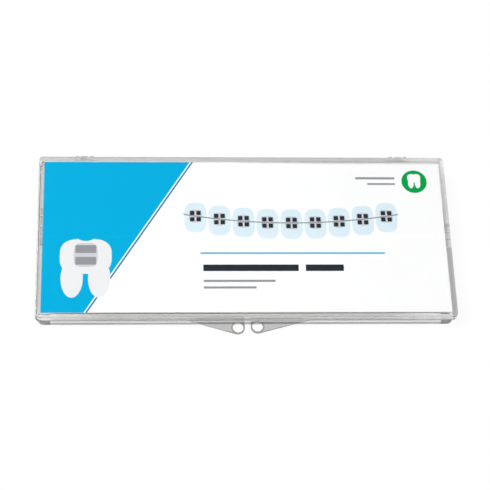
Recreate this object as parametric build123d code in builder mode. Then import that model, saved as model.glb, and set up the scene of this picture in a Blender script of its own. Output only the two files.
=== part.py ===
from build123d import *
import os

os.makedirs("parts", exist_ok=True)

# A flat hinged case of clear moulded plastic that holds one patient's set of
# orthodontic brackets, in millimetres. A printed card lies under the lid.
# +X runs along the case, -Y is its front with the finger tabs, +Z is up, and
# the origin is the middle of the flat underside.

# Case as a whole
case_length = 175.0
case_depth = 75.0
case_height = 9.5
parting_height = 5.5
parting_gap = 0.1
cut_overrun = 1.0

# Lid moulding
lid_wall = 1.2
lid_top = 1.2
lid_cavity_radius = 0.3
lid_edge_radius = 0.3

# Card under the lid, the two ledges that hold it up and the ribs that centre it
card_thickness = 0.4
card_border = 2.3
ledge_length = 17.0
ledge_thickness = 0.5
ledge_reach = 0.9
ledge_gap = 0.1
ledge_shift = 4.5
card_rib_width = 1.0
card_rib_spacing = 5.0
card_rib_count = 3
card_rib_gap = 0.15

# Base moulding, with the thin rim that enters the lid
base_floor = 1.2
base_inset = 0.4
base_cavity_radius = 1.2
base_edge_radius = 0.4
rim_thickness = 0.8
rim_gap = 0.2
rim_top_gap = 0.3
closure_rib_length = 10.0
closure_rib_height = 0.5
closure_rib_gap = 0.08

# Finger tabs, one on the base and one on the lid
tab_thickness = 0.8
tab_eye_radius = 2.2
tab_eye_wall = 0.65
tab_eye_stand = 3.1
tab_spacing = 8.0
tab_root_length = 22.0
tab_root_bite = 0.6

# Hinges: a lid block with two pin stubs, between two ears of the base
hinge_end_distance = 19.3
hinge_pin_radius = 0.5
hinge_pin_clearance = 0.05
hinge_barrel_wall = 0.55
hinge_swing_gap = 0.2
hinge_block_width = 2.8
hinge_side_gap = 1.0
hinge_ear_width = 1.5
hinge_pin_end_gap = 0.3
hinge_root_bite = 0.2
ear_root_drop = 1.3
ear_root_height = 2.5
block_root_height = 2.6

# Foam pad, placement card and the two sticky strips that carry the brackets
pad_thickness = 2.0
pad_side_gap = 0.3
placement_thickness = 0.3
placement_border = 2.0
strip_thickness = 0.1
strip_depth = 5.0
strip_end_margin = 6.0

# Brackets: two rows, each with five teeth to the right and five to the left
row_distance = 26.0
wide_bracket = 3.8
canine_bracket = 3.4
middle_bracket = 3.2
narrow_bracket = 2.6
bracket_tall = 3.2
pad_plate_thickness = 0.45
pad_plate_bevel = 0.5
pad_curve_radius = 12.0
pad_land = 0.3
wing_inset = 0.15
wing_span = 2.9
wing_underside = 1.15
wing_hook = 0.2
wing_tip_bevel = 0.25
bracket_profile = 2.3
stem_span = 1.8
hook_post_radius = 0.22
hook_ball_radius = 0.35
hook_ball_sides = 8
hook_length = 0.6
hook_drop = 0.5
wire_slot_width = 0.56
wire_slot_depth = 0.71
tie_channel_width = 0.8
tie_channel_floor = 0.9

# Sizes that follow from those above
lid_cavity_length = case_length - 2 * lid_wall
lid_cavity_depth = case_depth - 2 * lid_wall
ceiling_height = case_height - lid_top
card_length = case_length - 2 * card_border
card_depth = case_depth - 2 * card_border
card_underside = ceiling_height - card_thickness
ledge_underside = card_underside - ledge_gap - ledge_thickness
lid_underside = parting_height + parting_gap

base_wall = lid_wall - base_inset + rim_gap + rim_thickness
base_length = case_length - 2 * base_inset
base_depth = case_depth - 2 * base_inset
base_cavity_length = base_length - 2 * base_wall
base_cavity_depth = base_depth - 2 * base_wall
rim_top = ledge_underside - rim_top_gap

tab_outer_radius = tab_eye_radius + tab_eye_wall
tab_eye_y = -(case_depth / 2 + tab_eye_stand)

hinge_barrel_radius = hinge_pin_radius + hinge_pin_clearance + hinge_barrel_wall
hinge_y = case_depth / 2 + hinge_barrel_radius + hinge_swing_gap
hinge_z = parting_height
hinge_centre = case_length / 2 - hinge_end_distance
ear_inner = hinge_block_width / 2 + hinge_side_gap
pin_reach = ear_inner + hinge_ear_width - hinge_pin_end_gap

pad_length = base_cavity_length - 2 * pad_side_gap
pad_depth = base_cavity_depth - 2 * pad_side_gap
pad_surface = base_floor + pad_thickness
placement_length = pad_length - 2 * placement_border
placement_depth = pad_depth - 2 * placement_border
placement_surface = pad_surface + placement_thickness
strip_length = placement_length - 2 * strip_end_margin
strip_surface = placement_surface + strip_thickness

# Bracket widths by tooth, from the middle of the mouth outwards
upper_widths = [wide_bracket, middle_bracket, canine_bracket, middle_bracket, middle_bracket]
lower_widths = [narrow_bracket, narrow_bracket, middle_bracket, middle_bracket, middle_bracket]
bracket_pitch = strip_length / (2 * len(upper_widths))
first_hooked_tooth = 3


def tab_outline(height, side, wall_y):
    """Top view of a finger tab: an eye, faired into the front wall on its outer side."""
    eye_x = side * tab_spacing / 2
    root_inner = eye_x - side * tab_outer_radius
    root_outer = eye_x + side * tab_root_length
    with BuildSketch(Plane.XY.offset(height)) as outline:
        with Locations((eye_x, tab_eye_y)):
            Circle(tab_outer_radius)
        with Locations(((root_inner + root_outer) / 2, wall_y + tab_root_bite / 2)):
            Rectangle(abs(root_outer - root_inner), tab_root_bite)
        make_hull()
        with Locations((eye_x, tab_eye_y)):
            Circle(tab_eye_radius, mode=Mode.SUBTRACT)
    return outline.sketch


def web_outline(low_x, wall_y, root_low, root_high):
    """End view of a hinge web: a round barrel, faired into a stretch of the wall."""
    with BuildSketch(Plane.YZ.offset(low_x)) as outline:
        with Locations((hinge_y, hinge_z)):
            Circle(hinge_barrel_radius)
        with Locations((wall_y - hinge_root_bite / 2, (root_low + root_high) / 2)):
            Rectangle(hinge_root_bite, root_high - root_low)
        make_hull()
    return outline.sketch


# Base: a shallow tray with rounded corners and a thin rim that enters the lid
with BuildPart() as case_base:
    with BuildSketch():
        RectangleRounded(base_length, base_depth, base_cavity_radius + base_wall)
    extrude(amount=parting_height)
    fillet(case_base.faces().sort_by(Axis.Z)[0].edges(), base_edge_radius)
    with BuildSketch(Plane.XY.offset(parting_height)):
        RectangleRounded(
            base_cavity_length + 2 * rim_thickness,
            base_cavity_depth + 2 * rim_thickness,
            base_cavity_radius + rim_thickness,
        )
    extrude(amount=rim_top - parting_height)
    with BuildSketch(Plane.XY.offset(base_floor)):
        RectangleRounded(base_cavity_length, base_cavity_depth, base_cavity_radius)
    extrude(amount=case_height, mode=Mode.SUBTRACT)
    # A low rib on the front of the rim grips the lid when it is shut
    rib_front = lid_cavity_depth / 2 - closure_rib_gap
    rib_back = base_cavity_depth / 2 + rim_thickness / 2
    with BuildSketch(Plane.XY.offset((parting_height + rim_top - closure_rib_height) / 2)):
        with Locations((0, -(rib_front + rib_back) / 2)):
            Rectangle(closure_rib_length, rib_front - rib_back)
    extrude(amount=closure_rib_height)
    extrude(
        tab_outline(parting_height - tab_thickness, -1, -base_depth / 2),
        amount=tab_thickness,
    )
    for centre in (-hinge_centre, hinge_centre):
        for ear_low in (centre - ear_inner - hinge_ear_width, centre + ear_inner):
            ear = web_outline(
                ear_low,
                base_depth / 2,
                hinge_z - ear_root_drop - ear_root_height,
                hinge_z - ear_root_drop,
            )
            extrude(ear, amount=hinge_ear_width)
            with BuildSketch(Plane.YZ.offset(ear_low)):
                with Locations((hinge_y, hinge_z)):
                    Circle(hinge_pin_radius + hinge_pin_clearance)
            extrude(amount=hinge_ear_width, mode=Mode.SUBTRACT)
case_base.part.label = "case_base"
export_step(case_base.part, "parts/case_base.step")

# Lid: a flat cover with a plain skirt, the card ledges and ribs on its two end walls
with BuildPart() as case_lid:
    with BuildSketch(Plane.XY.offset(lid_underside)):
        RectangleRounded(case_length, case_depth, lid_cavity_radius + lid_wall)
    extrude(amount=case_height - lid_underside)
    fillet(case_lid.faces().sort_by(Axis.Z)[-1].edges(), lid_edge_radius)
    with BuildSketch(Plane.XY.offset(lid_underside)):
        RectangleRounded(lid_cavity_length, lid_cavity_depth, lid_cavity_radius)
    extrude(amount=ceiling_height - lid_underside, mode=Mode.SUBTRACT)
    ledge_inner = card_length / 2 - ledge_reach
    ledge_outer = lid_cavity_length / 2 + lid_wall / 2
    ledge_middle = (ledge_inner + ledge_outer) / 2
    with BuildSketch(Plane.XY.offset(ledge_underside)):
        with Locations((-ledge_middle, ledge_shift), (ledge_middle, ledge_shift)):
            Rectangle(ledge_outer - ledge_inner, ledge_length)
    extrude(amount=ledge_thickness)
    card_rib_inner = card_length / 2 + card_rib_gap
    card_rib_middle = (card_rib_inner + ledge_outer) / 2
    with BuildSketch(Plane.XY.offset(ledge_underside)):
        with Locations((-card_rib_middle, ledge_shift), (card_rib_middle, ledge_shift)):
            with GridLocations(0, card_rib_spacing, 1, card_rib_count):
                Rectangle(ledge_outer - card_rib_inner, card_rib_width)
    extrude(amount=ceiling_height - ledge_underside)
    extrude(tab_outline(lid_underside, 1, -case_depth / 2), amount=tab_thickness)
    for centre in (-hinge_centre, hinge_centre):
        block = web_outline(
            centre - hinge_block_width / 2,
            case_depth / 2,
            lid_underside,
            lid_underside + block_root_height,
        )
        extrude(block, amount=hinge_block_width)
        with BuildSketch(Plane.YZ.offset(centre - pin_reach)):
            with Locations((hinge_y, hinge_z)):
                Circle(hinge_pin_radius)
        extrude(amount=2 * pin_reach)
case_lid.part.label = "case_lid"
export_step(case_lid.part, "parts/case_lid.step")

# Printed card, close under the top of the lid
with BuildPart() as lid_card:
    with BuildSketch(Plane.XY.offset(card_underside)):
        Rectangle(card_length, card_depth)
    extrude(amount=card_thickness)
lid_card.part.label = "lid_card"
export_step(lid_card.part, "parts/lid_card.step")

# Foam pad on the floor of the base
with BuildPart() as foam_pad:
    with BuildSketch(Plane.XY.offset(base_floor)):
        RectangleRounded(pad_length, pad_depth, base_cavity_radius)
    extrude(amount=pad_thickness)
foam_pad.part.label = "foam_pad"
export_step(foam_pad.part, "parts/foam_pad.step")

# Placement card on the foam, which shows each bracket's tooth
with BuildPart() as placement_card:
    with BuildSketch(Plane.XY.offset(pad_surface)):
        Rectangle(placement_length, placement_depth)
    extrude(amount=placement_thickness)
placement_card.part.label = "placement_card"
export_step(placement_card.part, "parts/placement_card.step")

# Double-sided sticky strips, one under each row of brackets
for row_name, row_y in (("upper", row_distance / 2), ("lower", -row_distance / 2)):
    with BuildPart() as strip:
        with BuildSketch(Plane.XY.offset(placement_surface)):
            with Locations((0, row_y)):
                Rectangle(strip_length, strip_depth)
        extrude(amount=strip_thickness)
    strip.part.label = f"sticky_strip_{row_name}"
    export_step(strip.part, f"parts/{strip.part.label}.step")


def twin_bracket(seat, width, hook_x, hook_y):
    """One twin bracket on its seat plane: a curved pad, a stem and two pairs of wings.

    hook_x and hook_y, each 1 or -1, say which wing has the ball hook. Zero is no hook.
    """
    end_view = Plane(seat.origin, x_dir=seat.y_dir, z_dir=seat.x_dir)
    side_view = Plane(seat.origin, x_dir=seat.x_dir, z_dir=-seat.y_dir)
    wings_length = width - 2 * wing_inset
    half_hollow = width / 2 - pad_land
    curve_centre = -((pad_curve_radius**2 - half_hollow**2) ** (1 / 2))
    with BuildPart() as bracket:
        with BuildSketch(seat):
            Rectangle(width, bracket_tall)
            chamfer(vertices(), pad_plate_bevel)
        extrude(amount=pad_plate_thickness)
        with BuildSketch(side_view):
            with Locations((0, curve_centre)):
                Circle(pad_curve_radius)
        extrude(amount=bracket_tall, both=True, mode=Mode.SUBTRACT)
        with BuildSketch(end_view):
            with BuildLine():
                Polyline(
                    (0, pad_plate_thickness / 2),
                    (stem_span / 2, pad_plate_thickness / 2),
                    (stem_span / 2, wing_underside),
                    (wing_span / 2, wing_underside - wing_hook),
                    (wing_span / 2, bracket_profile),
                    (wire_slot_width / 2, bracket_profile),
                    (wire_slot_width / 2, bracket_profile - wire_slot_depth),
                    (0, bracket_profile - wire_slot_depth),
                    close=True,
                )
            make_face()
            chamfer(vertices().group_by(Axis.X)[-1], wing_tip_bevel)
            mirror(about=Plane.YZ)
        extrude(amount=wings_length / 2, both=True)
        with BuildSketch(seat.offset(tie_channel_floor)):
            Rectangle(tie_channel_width, bracket_tall + 2 * cut_overrun)
        extrude(amount=bracket_profile, mode=Mode.SUBTRACT)
        if hook_x:
            post_x = hook_x * (wings_length + tie_channel_width) / 4
            post_z = bracket_profile - hook_drop
            tip = end_view.offset(post_x)
            with BuildSketch(tip):
                with Locations((hook_y * wing_span / 2, post_z)):
                    Rectangle(2 * hook_length, 2 * hook_post_radius)
                with Locations((hook_y * (wing_span / 2 + hook_length), post_z)):
                    RegularPolygon(hook_ball_radius, hook_ball_sides)
            extrude(amount=hook_post_radius, both=True)
    return bracket.part


# Two rows of ten brackets, numbered from the middle of the mouth outwards
for row_name, row_y, widths in (
    ("upper", row_distance / 2, upper_widths),
    ("lower", -row_distance / 2, lower_widths),
):
    for side_name, side in (("right", -1), ("left", 1)):
        for number, width in enumerate(widths, start=1):
            x = side * (number - 1 / 2) * bracket_pitch
            hook_x = side if number >= first_hooked_tooth else 0
            hook_y = 1 if row_y > 0 else -1
            bracket = twin_bracket(Plane((x, row_y, strip_surface)), width, hook_x, hook_y)
            bracket.label = f"bracket_{row_name}_{side_name}_{number}"
            export_step(bracket, f"parts/{bracket.label}.step")
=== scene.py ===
import math

import bmesh
import bpy
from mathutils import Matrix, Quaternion, Vector


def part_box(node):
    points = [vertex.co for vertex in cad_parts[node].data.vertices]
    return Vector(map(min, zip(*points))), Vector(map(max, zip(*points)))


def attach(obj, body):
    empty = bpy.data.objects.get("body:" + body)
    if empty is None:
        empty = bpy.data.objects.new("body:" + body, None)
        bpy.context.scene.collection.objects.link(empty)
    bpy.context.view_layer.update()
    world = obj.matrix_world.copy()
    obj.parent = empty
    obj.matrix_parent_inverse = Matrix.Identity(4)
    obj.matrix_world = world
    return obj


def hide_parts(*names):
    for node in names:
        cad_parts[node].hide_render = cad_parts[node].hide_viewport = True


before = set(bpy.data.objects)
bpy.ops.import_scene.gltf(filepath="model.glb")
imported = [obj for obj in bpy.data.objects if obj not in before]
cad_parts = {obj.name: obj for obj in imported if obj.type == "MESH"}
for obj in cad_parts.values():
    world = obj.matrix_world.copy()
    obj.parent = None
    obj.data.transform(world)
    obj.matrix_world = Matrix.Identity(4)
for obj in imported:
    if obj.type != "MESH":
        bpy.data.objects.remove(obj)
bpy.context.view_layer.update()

MM = 0.001

# Camera
# A long lens looks steeply down on the closed case from its front side. It is
# rolled a little, and its axis meets the picture left of the middle.
frame_pixels = 490
axis_pixel = 225
camera_azimuth = math.radians(-7.69)
camera_elevation = math.radians(63.98)
camera_roll = math.radians(6.92)
camera_distance = 661.5 * MM
camera_target = Vector((-8.1 * MM, -0.16 * MM, 0))
camera_back = Vector((
    math.sin(camera_azimuth) * math.cos(camera_elevation),
    -math.cos(camera_azimuth) * math.cos(camera_elevation),
    math.sin(camera_elevation),
))
camera_data = bpy.data.cameras.new("camera")
camera_data.sensor_width = 36
camera_data.lens = 113.78
camera_data.shift_x = 0.5 - axis_pixel / frame_pixels
camera_data.clip_start = 0.01
camera = bpy.data.objects.new("camera", camera_data)
camera.location = camera_target + camera_back * camera_distance
camera.rotation_mode = "QUATERNION"
level_view = (-camera_back).to_track_quat("-Z", "Y")
camera.rotation_quaternion = level_view @ Quaternion((0, 0, 1), camera_roll)
bpy.context.scene.collection.objects.link(camera)
bpy.context.scene.camera = camera


# Table, surroundings and lamps
# The case lies on a white table in a white room. The table keeps a faint soft
# shadow, and shows white to the camera and through the clear plastic.
class Flow:
    """A socket in a material's nodes, so that shader maths is written as Python."""

    def __init__(self, tree, socket):
        self.tree = tree
        self.socket = socket

    def maths(self, operation, *others):
        node = self.tree.nodes.new("ShaderNodeMath")
        node.operation = operation
        for slot, value in zip(node.inputs, (self, *others)):
            plug(self.tree, slot, value)
        return Flow(self.tree, node.outputs[0])

    def __add__(self, other):
        return self.maths("ADD", other)

    def __radd__(self, other):
        return self.maths("ADD", other)

    def __sub__(self, other):
        return self.maths("SUBTRACT", other)

    def __rsub__(self, other):
        return (self * -1).maths("ADD", other)

    def __mul__(self, other):
        return self.maths("MULTIPLY", other)

    def __rmul__(self, other):
        return self.maths("MULTIPLY", other)

    def __truediv__(self, other):
        return self.maths("DIVIDE", other)

    def __pow__(self, other):
        return self.maths("POWER", other)

    def __abs__(self):
        return self.maths("ABSOLUTE")

    def __floor__(self):
        return self.maths("FLOOR")

    def __lt__(self, other):
        return self.maths("LESS_THAN", other)

    def __gt__(self, other):
        return self.maths("GREATER_THAN", other)

    def __or__(self, other):
        return self.maths("MAXIMUM", other)

    def fade(self, start, length):
        """Rises from 0 at start to 1 after length, and stays there."""
        return ((self - start) / length).maths("MINIMUM", 1.0) | 0.0


def plug(tree, slot, value):
    """Feeds an input with a flow, or sets it to a plain value."""
    if isinstance(value, Flow):
        tree.links.new(value.socket, slot)
    else:
        slot.default_value = value


class Finish:
    """The nodes of a material or of the world, with a method that adds any node."""

    def __init__(self, owner):
        owner.use_nodes = True
        self.owner = owner
        self.tree = owner.node_tree
        self.tree.nodes.clear()

    def node(self, kind, settings=None, output=0, **inputs):
        """Adds a node. An input's name has underscores for spaces, such as Base_Color."""
        node = self.tree.nodes.new(kind)
        for key, value in (settings or {}).items():
            setattr(node, key, value)
        for name, value in inputs.items():
            plug(self.tree, node.inputs[name.replace("_", " ")], value)
        return Flow(self.tree, node.outputs[output])

    def place(self):
        """The point on the piece at rest: as a vector, and as x, y and z in millimetres."""
        point = self.node("ShaderNodeTexCoord", output="Object")
        split = self.node("ShaderNodeSeparateXYZ", Vector=point).socket.node
        return point, *(Flow(self.tree, output) / MM for output in split.outputs)

    def noise(self, point, scale, detail=2.0, roughness=0.5):
        return self.node("ShaderNodeTexNoise", Vector=point, Scale=scale, Detail=detail, Roughness=roughness)

    def ray(self, kind):
        """Mask of the rays of one kind, such as Camera or Shadow."""
        return self.node("ShaderNodeLightPath", output=f"Is {kind} Ray")

    def mix(self, factor, low, high):
        """Blends two colours by a factor, through the colour sockets of a Mix node."""
        node = self.tree.nodes.new("ShaderNodeMix")
        node.data_type = "RGBA"
        for slot, value in zip((node.inputs[0], node.inputs[6], node.inputs[7]), (factor, low, high)):
            plug(self.tree, slot, value)
        return Flow(self.tree, node.outputs[2])

    def blend(self, factor, low, high):
        """Blends two shaders by a factor."""
        node = self.tree.nodes.new("ShaderNodeMixShader")
        for slot, value in zip(node.inputs, (factor, low, high)):
            plug(self.tree, slot, value)
        return Flow(self.tree, node.outputs[0])

    def show(self, shader, output_kind="ShaderNodeOutputMaterial"):
        output = self.tree.nodes.new(output_kind)
        self.tree.links.new(shader.socket, output.inputs["Surface"])


pure_white = (1, 1, 1, 1)
table_white = (0.9, 0.9, 0.9, 1)
table_glow_share = 0.91
table_half = 2.0
table_gap = 0.02 * MM
table_corners = ((-1, -1), (1, -1), (1, 1), (-1, 1))

table_finish = Finish(bpy.data.materials.new("white_table"))
table_seen = table_finish.ray("Camera") | table_finish.ray("Glossy") | table_finish.ray("Transmission")
table_matt = table_finish.node("ShaderNodeBsdfDiffuse", Color=table_white)
table_glow = table_finish.node("ShaderNodeEmission", Color=pure_white, Strength=1.0)
table_finish.show(table_finish.blend(table_seen * table_glow_share, table_matt, table_glow))

table_mesh = bpy.data.meshes.new("table_top")
table_points = [(x * table_half, y * table_half, -table_gap) for x, y in table_corners]
table_mesh.from_pydata(table_points, [], [(0, 1, 2, 3)])
table_mesh.materials.append(table_finish.owner)
table = bpy.data.objects.new("table_top", table_mesh)
bpy.context.scene.collection.objects.link(table)

# The room's light is full at the horizon and fades out towards the ceiling
wall_light = 0.4
room_world = bpy.data.worlds.new("white_room")
bpy.context.scene.world = room_world
room = Finish(room_world)
room_way = room.node("ShaderNodeTexCoord", output="Generated")
room_rise = room.node("ShaderNodeSeparateXYZ", output="Z", Vector=room_way) | 0.0
room_light = (1 - room_rise) * wall_light | room.ray("Camera")
room_background = room.node("ShaderNodeBackground", Color=pure_white, Strength=room_light)
room.show(room_background, "ShaderNodeOutputWorld")


def add_lamp(name, place, size, watts):
    """A soft square lamp that points at the case and doesn't show through it."""
    lamp = bpy.data.lights.new(name, "AREA")
    lamp.shape = "SQUARE"
    lamp.size = size
    lamp.energy = watts
    holder = bpy.data.objects.new(name, lamp)
    holder.location = place
    holder.rotation_mode = "QUATERNION"
    holder.rotation_quaternion = (-Vector(place)).to_track_quat("-Z", "Y")
    holder.visible_transmission = False
    bpy.context.scene.collection.objects.link(holder)


add_lamp("key_lamp", place=(-0.9, 0.3, 1.1), size=0.7, watts=22.6)
add_lamp("fill_lamp", place=(0.8, -0.6, 0.9), size=0.8, watts=9.7)

bpy.context.scene.view_settings.view_transform = "Standard"

# Case base and lid
# Two mouldings in clear polystyrene. Their walls, hinges and tabs are tinted greyer than
# the thin window over the card, as painted shade. The lid's pin stubs snap into the base's ears.
polystyrene_index = 1.59
passing_tint = (0.965, 0.966, 0.969, 1)
skin = 0.05
wall_past_card = 2.35

plastic = Finish(bpy.data.materials.new("clear_polystyrene"))
plastic_point, plastic_x, plastic_y, plastic_z = plastic.place()
card_half_x, card_half_y, card_top = (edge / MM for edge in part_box("lid_card")[1])
foam_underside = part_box("foam_pad")[0][2] / MM
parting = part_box("case_lid")[0][2] / MM
wall_reach = card_half_y + wall_past_card
underside = plastic_z < skin

# The walls, in painted shade. Along its front and its back right, the lid's painted shade clears towards the
# ends
lid_wall_shade_tint = (0.85, 0.85, 0.845, 1)
lid_end_tint = (1.0, 1.0, 0.995, 1)
base_wall_shade_tint = (0.88, 0.88, 0.875, 1)
lid_ends = abs(plastic_x).fade(start=58, length=16)
clearing_walls = (abs(plastic_x) < card_half_x) * ((plastic_y < 0) | (plastic_x > 0))
lid_shade_tint = plastic.mix(lid_ends * clearing_walls, lid_wall_shade_tint, lid_end_tint)
plastic_tint_and_shade = plastic.mix(plastic_z < parting, lid_shade_tint, base_wall_shade_tint)

# The window: the broad faces over and under the card
window_tint = (0.985, 0.985, 0.985, 1)
broad_faces = (plastic_z > card_top - skin) | (plastic_z < foam_underside + skin)
window = (abs(plastic_x) < card_half_x) * (abs(plastic_y) < card_half_y) * broad_faces
plastic_tint_and_shade = plastic.mix(window, plastic_tint_and_shade, window_tint)

# A painted shadow: a grey line along the window's back edge, which deepens to the right
back_shadow_tint = (0.7, 0.7, 0.695, 1)
back_shadow_half = 0.8
back_edge = (abs(plastic_y - card_half_y) < back_shadow_half) * (plastic_z > card_top - skin)
back_shadow_line = plastic_x.fade(start=-8, length=45) * back_edge
plastic_tint_and_shade = plastic.mix(back_shadow_line, plastic_tint_and_shade, back_shadow_tint)

# Painted shade, nearly black, on the outer faces of the base's two front corners, and of the lid's lower
# edge there
corner_shade_tint = (0.06, 0.06, 0.058, 1)
corner_reach = 81.4
corner_front = -36.6
corner_side = 85.8
corner_lap = 0.8
corner_outer_faces = (plastic_y < corner_front) | (abs(plastic_x) > corner_side) * (plastic_y < -card_half_y)
corner = (abs(plastic_x) > corner_reach) * corner_outer_faces * (plastic_z < parting + corner_lap)
plastic_tint_and_shade = plastic.mix(corner, plastic_tint_and_shade, corner_shade_tint)


def oval(x, y, middle, size, squareness=2.0):
    """Mask of an oval, by its middle and full size. It squares up as squareness rises."""
    across = abs((x - middle[0]) / (size[0] / 2)) ** squareness
    along = abs((y - middle[1]) / (size[1] / 2)) ** squareness
    return (across + along) < 1


# Painted shade: the finger tabs tinted grey, and the rims of their eyes darker still
tab_shade_tint = (0.6, 0.6, 0.595, 1)
eye_rim_shade_tint = (0.4, 0.4, 0.395, 1)
tabs = (-1 * plastic_y).fade(start=wall_reach, length=1.6)
eye_rims = oval(abs(plastic_x), plastic_y, middle=(4, -40.6), size=(5.8, 5.8)) * tabs
plastic_tint_and_shade = plastic.mix(tabs, plastic_tint_and_shade, tab_shade_tint)
plastic_tint_and_shade = plastic.mix(eye_rims, plastic_tint_and_shade, eye_rim_shade_tint)

# The right rim: painted shade in front, and pale at the back with painted dark lines for the ledges inside
right_tint = (0.98, 0.98, 0.975, 1)
right_front_shade_tint = (0.52, 0.52, 0.515, 1)
right_front_end = -6
ledge_shade_lines = ((4.6, 0.8), (2.5, 0.2), (1.1, 0.2), (-2.2, 0.25))
right_rim = (plastic_x > card_half_x) * (plastic_z > card_top)
right_painted_shade = plastic_y < right_front_end
for line_y, line_half in ledge_shade_lines:
    right_painted_shade = right_painted_shade | (abs(plastic_y - line_y) < line_half)
right_rim_shade_tint = plastic.mix(right_painted_shade, right_tint, right_front_shade_tint)
plastic_tint_and_shade = plastic.mix(right_rim, plastic_tint_and_shade, right_rim_shade_tint)

# The hinges in painted shade, darker still on the lid's blocks between the ears
hinge_shade_tint = (0.92, 0.92, 0.915, 1)
block_shade_tint = (0.6, 0.6, 0.595, 1)
block_middle = 68.2
block_half = 1.5
hinges = plastic_y > wall_reach
blocks = hinges * (abs(abs(plastic_x) - block_middle) < block_half)
plastic_tint_and_shade = plastic.mix(hinges, plastic_tint_and_shade, hinge_shade_tint)
plastic_tint_and_shade = plastic.mix(blocks, plastic_tint_and_shade, block_shade_tint)

# Polished all over, but for the matt underside, the soft right and back rims and the
# hinges. The lamps' and the room's light goes straight through to the pieces inside
polish_roughness = 0.005
rub_roughness = 0.02
underside_roughness = 0.6
rim_roughness = 0.5
hinge_roughness = 0.18
plastic_flow = plastic.noise(plastic_point, scale=60.0, detail=1.0)
plastic_rub = plastic.noise(plastic_point, scale=700.0, detail=3.0)
back_rim = (plastic_y > card_half_y) * (plastic_z > card_top)
polished = plastic_rub * rub_roughness + hinges * hinge_roughness + polish_roughness
softened = underside * underside_roughness + (right_rim | back_rim) * rim_roughness
plastic_body = plastic.node(
    "ShaderNodeBsdfPrincipled",
    Base_Color=plastic_tint_and_shade,
    Roughness=polished + softened,
    IOR=polystyrene_index,
    Transmission_Weight=1.0,
    Normal=plastic.node("ShaderNodeBump", Strength=0.01, Distance=0.1 * MM, Height=plastic_flow),
)
plastic_open = plastic.node("ShaderNodeBsdfTransparent", Color=passing_tint)
plastic_lit = plastic.blend(plastic.ray("Diffuse"), plastic_body, plastic_open)
plastic.show(plastic.blend(plastic.ray("Shadow"), plastic_lit, plastic_open))


def dress(node_name, finish):
    """Gives a CAD node its finish."""
    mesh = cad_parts[node_name].data
    mesh.materials.clear()
    mesh.materials.append(finish.owner)


dress("case_base", plastic)
dress("case_lid", plastic)

# Card under the lid
# White coated card, die-cut to fit inside the lid and printed on its top side in
# flat inks: a blue field with a slanted edge, a row of teeth with brackets on one
# arch wire, and plain bars and rules.
card_white = (0.98, 0.98, 0.975, 1)
card_bright = (1.0, 1.0, 0.995, 1)
card_shade = (0.84, 0.85, 0.86, 1)
card_raw = (0.72, 0.71, 0.68, 1)
blue_ink = (0.0, 0.42, 0.73, 1)
deep_blue_ink = (0.0, 0.2, 0.35, 1)
pale_blue_ink = (0.72, 0.86, 0.93, 1)
dark_ink = (0.022, 0.03, 0.042, 1)
grey_ink = (0.30, 0.31, 0.33, 1)
pale_grey_ink = (0.62, 0.64, 0.66, 1)
green_ink = (0.0, 0.36, 0.07, 1)

card = Finish(bpy.data.materials.new("printed_card"))
card_point, card_x, card_y, card_z = card.place()


def patch(x, y, middle, size):
    """Mask of a rectangle, by its middle and full size."""
    return (abs(x - middle[0]) < size[0] / 2) * (abs(y - middle[1]) < size[1] / 2)


def tooth(x, y, middle, height):
    """Mask of a plain two-rooted tooth, seen from the side."""
    x = (x - middle[0]) / height
    y = (y - middle[1]) / height
    crown = oval(x, y, middle=(0, 0.2), size=(0.8, 0.6), squareness=3.0)
    roots = oval(abs(x), y, middle=(0.21, -0.17), size=(0.34, 0.66))
    dimple = oval(x, y, middle=(0, 0.56), size=(0.3, 0.2))
    return (crown | roots) * (1 - dimple)


# The blue field, with a white stripe and a thin deeper line along its edge
slant_share = 0.6335
slant_x = -45.28
stripe_width = 0.66
line_width = 0.82
slant = card_x - card_y * slant_share - slant_x
card_colour = card.mix(card.noise(card_point, scale=2500.0, detail=3.0), card_white, card_bright)
card_colour = card.mix(slant < stripe_width + line_width, card_colour, deep_blue_ink)
card_colour = card.mix(slant < stripe_width, card_colour, card_white)
card_colour = card.mix(slant < 0, card_colour, blue_ink)

# A large tooth with a bracket at the field's lower corner
field_x = card_x + 67
field_y = card_y + 15
plate_y = 6
field_tooth = tooth(field_x, field_y, middle=(0, 0), height=27)
field_plate = oval(field_x, field_y, middle=(0, plate_y), size=(10, 11), squareness=4.0)
field_wings = patch(field_x, abs(field_y - plate_y), middle=(0, 2.7), size=(8.6, 3.6))
card_colour = card.mix(field_tooth, card_colour, card_shade)
card_colour = card.mix(field_plate, card_colour, pale_grey_ink)
card_colour = card.mix(field_wings, card_colour, grey_ink)

# The row of teeth: a shallow arch, with a bracket on each tooth and a wire through
arch_start = -26
arch_pitch = 10.2
arch_teeth = 9
arch_length = arch_pitch * arch_teeth
arch_middle = arch_start + arch_length / 2
arch_low = 6
arch_band = 40
arch_radius = 260
wire_half = 0.28
arch_step = math.floor((card_x - arch_start) / arch_pitch)
tooth_x = card_x - arch_start - (arch_step + 0.5) * arch_pitch
tooth_rise = (arch_step + 0.5) * arch_pitch + (arch_start - arch_middle)
tooth_y = card_y - arch_low - tooth_rise * tooth_rise / (2 * arch_radius)
wire_rise = card_x - arch_middle
wire_y = card_y - arch_low - wire_rise * wire_rise / (2 * arch_radius)
in_arch = patch(card_x, card_y, middle=(arch_middle, arch_low), size=(arch_length, arch_band))
crowns = oval(tooth_x, tooth_y, middle=(0, -0.6), size=(9.4, 14), squareness=3.2)
plates = oval(tooth_x, tooth_y, middle=(0, 0), size=(5.6, 6.2), squareness=4.0)
wings = patch(abs(tooth_x), abs(tooth_y), middle=(1.35, 1.5), size=(1.9, 2.0))
card_colour = card.mix(in_arch * crowns, card_colour, pale_blue_ink)
card_colour = card.mix(in_arch * plates, card_colour, pale_grey_ink)
card_colour = card.mix(in_arch * (abs(wire_y) < wire_half), card_colour, grey_ink)
card_colour = card.mix(in_arch * wings, card_colour, dark_ink)

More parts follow.
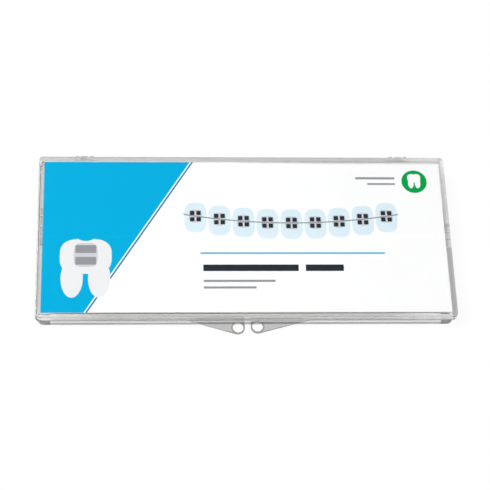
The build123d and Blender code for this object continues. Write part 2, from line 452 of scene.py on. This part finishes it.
# Bars, each by ink, middle and size: a rule and four bars below the arch, and two beside
# the green disc with a tooth, above the arch's right end
card_bars = (
    (blue_ink, (arch_middle, -8.2), (78, 0.7)),
    (dark_ink, (2, -15), (40, 3.0)),
    (dark_ink, (33, -15), (16, 3.0)),
    (grey_ink, (-3, -21), (30, 1.0)),
    (grey_ink, (-7, -24), (22, 1.0)),
    (grey_ink, (57, 27.6), (17, 1.1)),
    (grey_ink, (59.5, 24.8), (12, 0.9)),
)
for bar_ink, bar_middle, bar_size in card_bars:
    card_colour = card.mix(patch(card_x, card_y, bar_middle, bar_size), card_colour, bar_ink)
disc = oval(card_x, card_y, middle=(74, 26), size=(11, 11))
disc_tooth = tooth(card_x, card_y, middle=(74, 26.3), height=7.0)
card_colour = card.mix(disc, card_colour, green_ink)
card_colour = card.mix(disc_tooth, card_colour, card_white)

print_depth = 0.02
card_roughness = 0.42
card_fibre_roughness = 0.15
printed_side = card_z > card_top - print_depth
card_fibre = card.noise(card_point, scale=5000.0, detail=4.0, roughness=0.6)
card.show(
    card.node(
        "ShaderNodeBsdfPrincipled",
        Base_Color=card.mix(printed_side, card_raw, card_colour),
        Roughness=card_fibre * card_fibre_roughness + card_roughness,
        Specular_IOR_Level=0.03,
        Normal=card.node("ShaderNodeBump", Strength=0.15, Distance=0.01 * MM, Height=card_fibre),
    )
)
dress("lid_card", card)

# Foam pad
# A sheet of white closed-cell foam, knife-cut to the tray. It lies flat under the
# placement card and puffs up a little round the card's edge.
foam_low, foam_high = (Vector(corner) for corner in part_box("foam_pad"))
foam_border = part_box("placement_card")[0][0] - foam_low.x
foam_corner = 1.2 * MM
foam_least_corner = 0.1 * MM
foam_edge = 0.45 * MM
foam_puff = 0.12 * MM
foam_puff_reach = 0.75
foam_wave = 0.05 * MM
wave_turn = 0.9
swell_turn = 0.37
swell_start = 1.1
foam_side_step = 4 * MM
corner_steps = 6
edge_steps = 5
foam_shade = (0.70, 0.70, 0.69, 1)
foam_white = (0.78, 0.78, 0.77, 1)
foam_roughness = 0.8
foam_cloud_roughness = 0.1


def foam_outline(inset):
    """Points round the pad in plan, pulled in by inset, with rounded corners."""
    radius = max(foam_corner - inset, foam_least_corner)
    half_x = foam_high.x - inset - radius
    half_y = foam_high.y - inset - radius
    side_steps = [round(2 * reach / foam_side_step) for reach in (foam_high.y, foam_high.x)]
    middles = ((half_x, -half_y), (half_x, half_y), (-half_x, half_y), (-half_x, -half_y))
    points = []
    for turn, (x, y) in enumerate(middles):
        for step in range(corner_steps + 1):
            angle = math.pi / 2 * (turn - 1 + step / corner_steps)
            points.append(Vector((x + radius * math.cos(angle), y + radius * math.sin(angle))))
        next_x, next_y = middles[(turn + 1) % len(middles)]
        angle = math.pi / 2 * turn
        end = Vector((next_x + radius * math.cos(angle), next_y + radius * math.sin(angle)))
        steps = side_steps[turn % 2]
        points += [points[-1].lerp(end, step / steps) for step in range(1, steps)]
    return points


def foam_ring(inset, height, lift=0.0):
    """One ring of the pad's skin, a little uneven where the knife ran."""
    ring = []
    for number, point in enumerate(foam_outline(inset)):
        wave = math.sin(number * wave_turn) * math.sin(number * swell_turn + swell_start)
        pull = 1 - abs(wave) * foam_wave / foam_high.x
        ring.append((point.x * pull, point.y * pull, height + wave * lift))
    return ring


foam_rings = []
edge_angles = [math.pi / 2 * step / edge_steps for step in range(edge_steps + 1)]
for angle in edge_angles:
    inset = foam_edge * (1 - math.sin(angle))
    height = foam_low.z + foam_edge * (1 - math.cos(angle))
    foam_rings.append(foam_ring(inset, height))
for angle in edge_angles:
    inset = foam_edge * (1 - math.cos(angle))
    rise = (foam_edge + foam_puff) * math.sin(angle)
    foam_rings.append(foam_ring(inset, foam_high.z - foam_edge + rise, foam_wave * math.sin(angle)))
foam_rings.append(foam_ring(foam_border * foam_puff_reach, foam_high.z + foam_puff, foam_wave))
foam_rings.append(foam_ring(foam_border, foam_high.z))

foam_bm = bmesh.new()
foam_loops = [[foam_bm.verts.new(point) for point in ring] for ring in foam_rings]
for lower, upper in zip(foam_loops, foam_loops[1:]):
    for number in range(len(lower)):
        after = (number + 1) % len(lower)
        foam_bm.faces.new((lower[number], lower[after], upper[after], upper[number]))
foam_bm.faces.new(reversed(foam_loops[0]))
foam_bm.faces.new(foam_loops[-1])
foam_mesh = bpy.data.meshes.new("foam_sheet")
foam_bm.to_mesh(foam_mesh)
foam_bm.free()
for polygon in foam_mesh.polygons:
    polygon.use_smooth = len(polygon.vertices) == 4

foam = Finish(bpy.data.materials.new("closed_cell_foam"))
foam_point, *_ = foam.place()
cell_edges = {"feature": "DISTANCE_TO_EDGE"}
foam_cells = foam.node("ShaderNodeTexVoronoi", cell_edges, Vector=foam_point, Scale=2600.0)
foam_cloud = foam.noise(foam_point, scale=300.0, detail=3.0)
foam.show(
    foam.node(
        "ShaderNodeBsdfPrincipled",
        Base_Color=foam.mix(foam_cloud, foam_shade, foam_white),
        Roughness=foam_cloud * foam_cloud_roughness + foam_roughness,
        Normal=foam.node("ShaderNodeBump", Strength=0.5, Distance=0.05 * MM, Height=foam_cells),
    )
)
foam_mesh.materials.append(foam.owner)
foam_sheet = bpy.data.objects.new("foam_sheet", foam_mesh)
bpy.context.scene.collection.objects.link(foam_sheet)
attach(foam_sheet, "base")
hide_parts("foam_pad")

# Placement card
# Uncoated white card printed with a cell for each bracket. Blue lines divide the
# mouth in four, and dots count the teeth outwards from its middle.
strip_low, strip_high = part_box("sticky_strip_upper")
inner_low, inner_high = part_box("bracket_upper_left_1")
chart_row = (strip_low[1] + strip_high[1]) / 2 / MM
chart_pitch = abs(inner_low[0] + inner_high[0]) / MM
chart_teeth = 5
cell_height = 25.0
line_half = 0.11
crown_outer = (8.6, 11.7)
crown_inner = (8.0, 11.1)
crown_squareness = 2.6
dot_pitch = 1.7
dot_size = (0.96, 0.96)
dot_row = 9.6
mouth_line_half = 0.3
mouth_reach_x = 80
mouth_reach_y = 30
chart_shade = (0.73, 0.73, 0.715, 1)
chart_white = (0.80, 0.80, 0.79, 1)
mid_blue_ink = (0.36, 0.62, 0.78, 1)
chart_roughness = 0.7
chart_fibre_roughness = 0.15

chart = Finish(bpy.data.materials.new("placement_chart"))
chart_point, chart_x, chart_y, _ = chart.place()
out_x = abs(chart_x)
out_y = abs(chart_y) - chart_row
cell = math.floor(out_x / chart_pitch)
cell_x = out_x - (cell + 0.5) * chart_pitch
in_cells = (out_x < chart_pitch * chart_teeth + line_half) * (abs(out_y) < cell_height / 2 + line_half)
cell_lines = (abs(cell_x) > chart_pitch / 2 - line_half) | (abs(out_y) > cell_height / 2 - line_half)
dots_half = (cell + 1) * dot_pitch / 2
dot_x = cell_x + dots_half - (math.floor((cell_x + dots_half) / dot_pitch) + 0.5) * dot_pitch
dots = oval(dot_x, out_y, middle=(0, dot_row), size=dot_size) * (abs(cell_x) < dots_half)
upright_line = (out_x < mouth_line_half) * (abs(chart_y) < mouth_reach_y)
level_line = (abs(chart_y) < mouth_line_half) * (out_x < mouth_reach_x)
crown_outsides = oval(cell_x, out_y, middle=(0, 0), size=crown_outer, squareness=crown_squareness)
crown_insides = oval(cell_x, out_y, middle=(0, 0), size=crown_inner, squareness=crown_squareness)
crown_rims = crown_outsides * (1 - crown_insides)
chart_cloud = chart.noise(chart_point, scale=900.0, detail=4.0)
chart_colour = chart.mix(chart_cloud, chart_shade, chart_white)
chart_colour = chart.mix(in_cells * cell_lines, chart_colour, pale_grey_ink)
chart_colour = chart.mix(in_cells * crown_rims, chart_colour, mid_blue_ink)
chart_colour = chart.mix(upright_line | level_line, chart_colour, blue_ink)
chart_colour = chart.mix(in_cells * dots, chart_colour, grey_ink)
chart_fibre = chart.noise(chart_point, scale=3500.0, detail=5.0, roughness=0.65)
chart.show(
    chart.node(
        "ShaderNodeBsdfPrincipled",
        Base_Color=chart_colour,
        Roughness=chart_fibre * chart_fibre_roughness + chart_roughness,
        Specular_IOR_Level=0.3,
        Normal=chart.node("ShaderNodeBump", Strength=0.35, Distance=0.02 * MM, Height=chart_fibre),
    )
)
dress("placement_card", chart)

# Sticky strips
# Double-sided tape, one length under each row. Its milky film is slightly yellow
# and shows small trapped bubbles.
film_yellow = (0.72, 0.70, 0.60, 1)
film_milky = (0.78, 0.765, 0.68, 1)
bubble_pale = (0.86, 0.85, 0.80, 1)
bubble_radius = 0.16
tape_roughness = 0.2
film_roughness = 0.2

tape = Finish(bpy.data.materials.new("double_sided_tape"))
tape_point, *_ = tape.place()
tape_bubbles = tape.node("ShaderNodeTexVoronoi", Vector=tape_point, Scale=900.0) < bubble_radius
tape_film = tape.noise(tape_point, scale=250.0, detail=3.0)
tape_colour = tape.mix(tape_film, film_yellow, film_milky)
tape.show(
    tape.node(
        "ShaderNodeBsdfPrincipled",
        Base_Color=tape.mix(tape_bubbles, tape_colour, bubble_pale),
        Roughness=tape_film * film_roughness + tape_roughness,
        Normal=tape.node("ShaderNodeBump", Strength=0.2, Distance=0.02 * MM, Height=tape_bubbles),
    )
)
dress("sticky_strip_upper", tape)
dress("sticky_strip_lower", tape)

# Brackets
# Stainless steel, milled and tumbled to a satin grain, with a painted highlight on the wing tops.
# Each has a spot of violet paint on its outer wing, to show which way up it goes.
steel_shade = (0.62, 0.62, 0.63, 1)
steel_light = (0.76, 0.755, 0.745, 1)
wing_top_highlight = (0.84, 0.84, 0.835, 1)
violet_paint = (0.24, 0.06, 0.42, 1)
paint_spot = (0.95, 0.95)
paint_size = (0.6, 0.6)
paint_depth = 0.05
steel_roughness = 0.24
grain_roughness = 0.18
cloud_roughness = 0.12
bracket_top = inner_high[2] / MM

steel = Finish(bpy.data.materials.new("tumbled_steel"))
steel_point, steel_x, steel_y, steel_z = steel.place()
steel_out_x = abs(steel_x) - (math.floor(abs(steel_x) / chart_pitch) + 0.5) * chart_pitch
steel_out_y = abs(steel_y) - chart_row
paint = oval(steel_out_x, steel_out_y, paint_spot, paint_size) * (steel_z > bracket_top - paint_depth)
steel_grain = steel.noise(steel_point, scale=9000.0, detail=3.0)
steel_cloud = steel.noise(steel_point, scale=900.0, detail=2.0)
steel_colour = steel.mix(steel_cloud, steel_shade, steel_light)
# Painted highlight: the colour lightens towards the wing tops
steel_colour = steel.mix((steel_z / bracket_top) ** 3.0, steel_colour, wing_top_highlight)
steel.show(
    steel.node(
        "ShaderNodeBsdfPrincipled",
        Base_Color=steel.mix(paint, steel_colour, violet_paint),
        Metallic=1 - paint,
        Roughness=steel_grain * grain_roughness + steel_cloud * cloud_roughness + steel_roughness,
        Normal=steel.node("ShaderNodeBump", Strength=0.25, Distance=0.01 * MM, Height=steel_grain),
    )
)
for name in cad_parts:
    if name.startswith("bracket_"):
        dress(name, steel)
